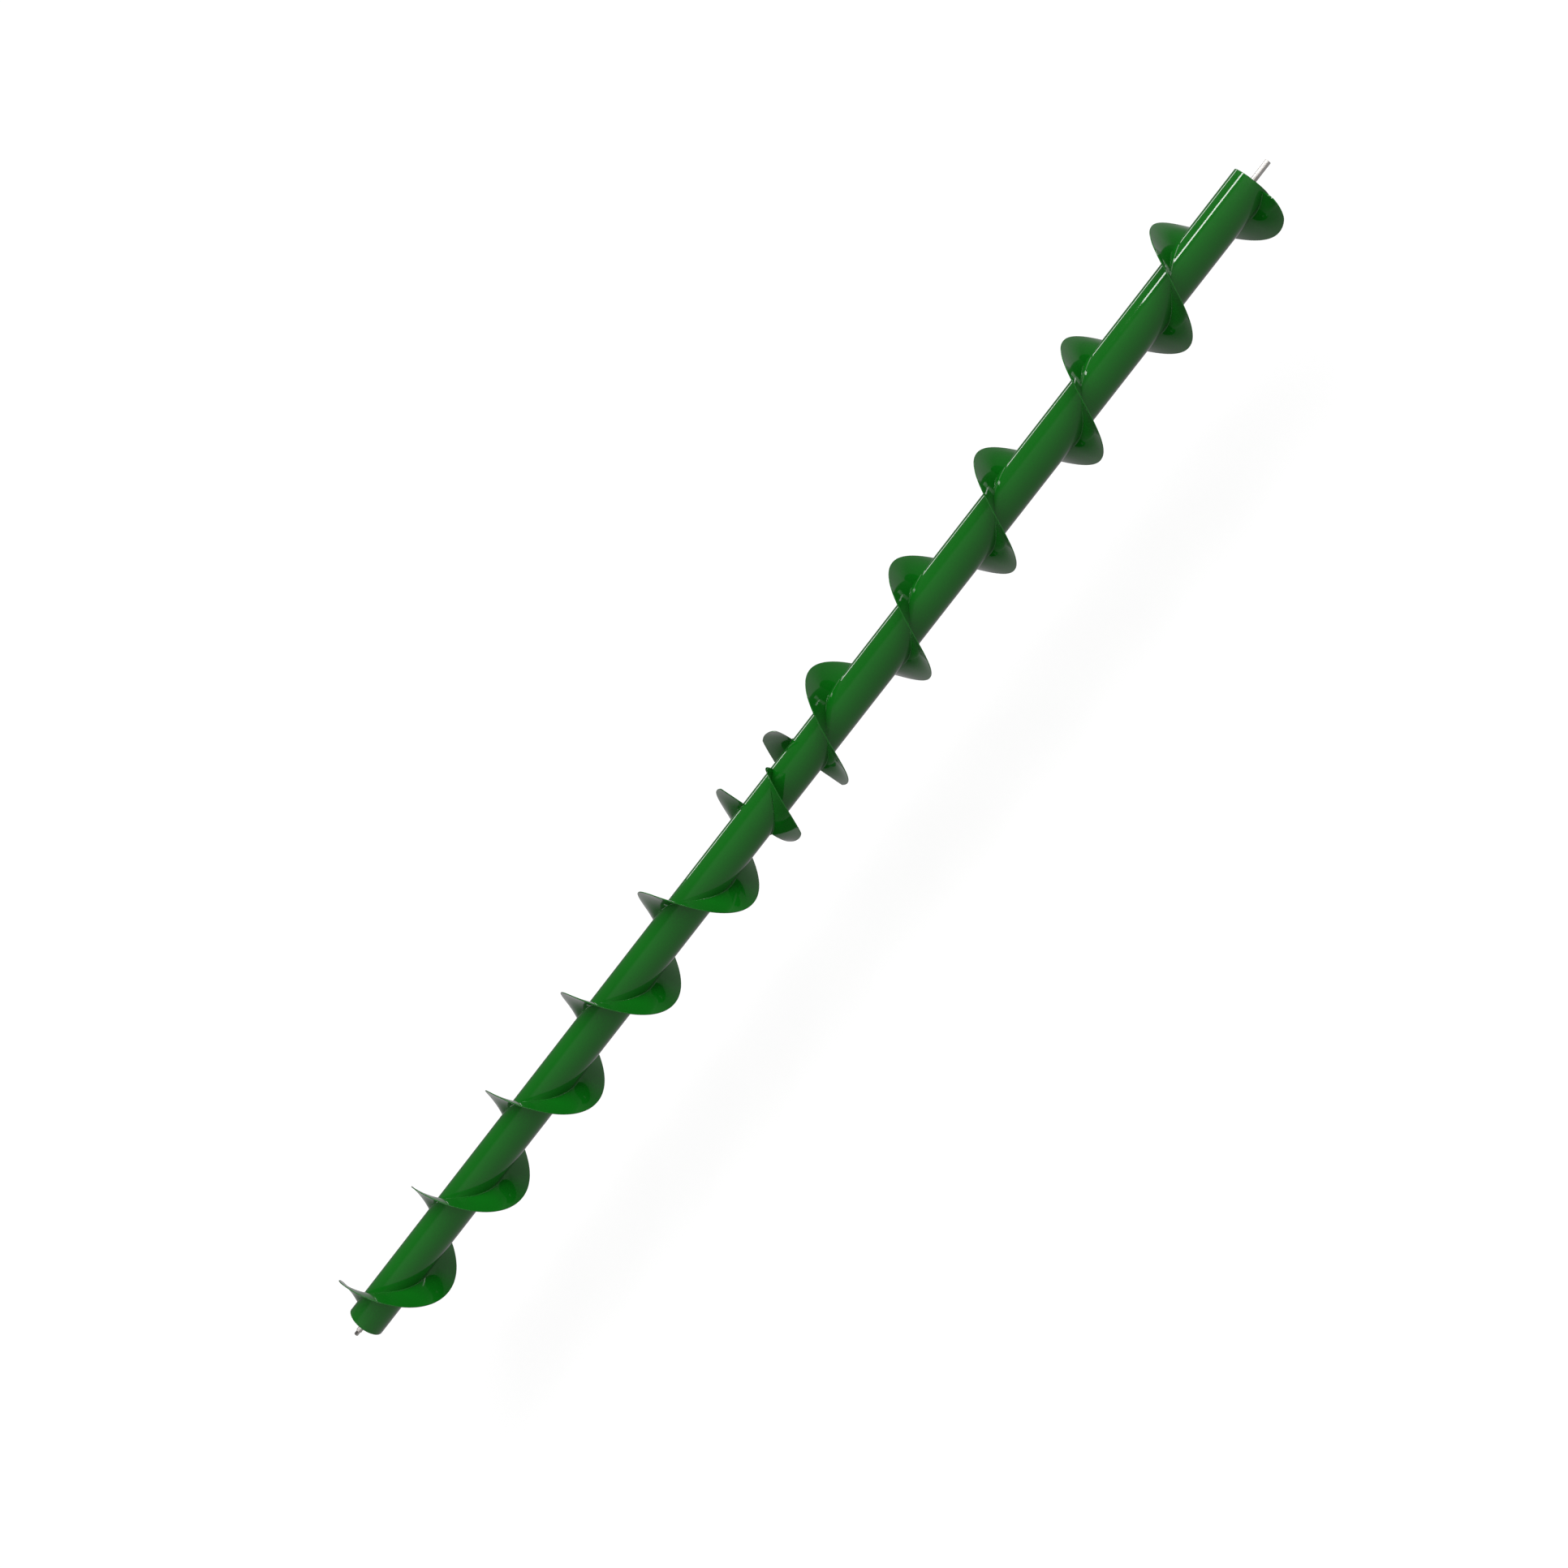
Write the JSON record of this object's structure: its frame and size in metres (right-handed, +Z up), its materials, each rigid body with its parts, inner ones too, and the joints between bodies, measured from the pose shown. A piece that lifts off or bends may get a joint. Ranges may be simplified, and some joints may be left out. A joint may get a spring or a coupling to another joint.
{
  "type": "cross auger",
  "caption": "Green screw auger on a long tube, with opposite-hand flighting on each half that carries crop to the middle, and a stub shaft at each end.",
  "frame": {"origin": "on the auger's axis, midway between the tips of the two stub shafts", "axes": "+X along the axis from the idle end to the drive end, +Z up; the flighting crosses the XZ plane at its centre"},
  "size_m": [6.193, 0.4064, 0.4064],
  "materials": {
    "green_paint": "glossy clear-coated green enamel",
    "bare_steel": "turned bright steel",
    "zinc_plate": "zinc-plated fasteners",
    "bearing_steel": "ground bearing steel",
    "seal_rubber": "black nitrile rubber"
  },
  "bodies": {
    "spindle": {"idle_spindle": "bare_steel", "bearing_inner_race": "bearing_steel", "spindle_snap_rings": "bare_steel"},
    "rotor": {"tube": "green_paint", "lh_flight_1": "green_paint", "lh_flight_2": "green_paint", "lh_flight_3": "green_paint", "lh_flight_4": "green_paint", "lh_flight_5": "green_paint", "lh_flight_6": "green_paint", "rh_flight_1": "green_paint", "rh_flight_2": "green_paint", "rh_flight_3": "green_paint", "rh_flight_4": "green_paint", "rh_flight_5": "green_paint", "rh_flight_6": "green_paint", "lh_centre_flight": "green_paint", "rh_centre_flight": "green_paint", "idle_end_plate": "green_paint", "bearing_housing": "green_paint", "housing_bolts": "zinc_plate", "housing_washers": "zinc_plate", "housing_nuts": "zinc_plate", "bearing_outer_race": "bearing_steel", "bearing_balls": "bearing_steel", "bearing_cage": "bearing_steel", "bearing_seals": "seal_rubber", "housing_snap_ring": "bare_steel", "spindle_seal": "seal_rubber", "grease_cap": "bare_steel", "drive_end_plate": "green_paint", "drive_inner_plate": "green_paint", "drive_hub": "green_paint", "drive_shaft": "bare_steel", "shaft_snap_ring": "bare_steel", "drive_pin": "bare_steel"}
  },
  "joints": [
    {"name": "auger_spin", "type": "hinge", "parent": "spindle", "child": "rotor", "pos_m": [-3, 0, 0], "axis": [1, 0, 0], "continuous": true}
  ]
}
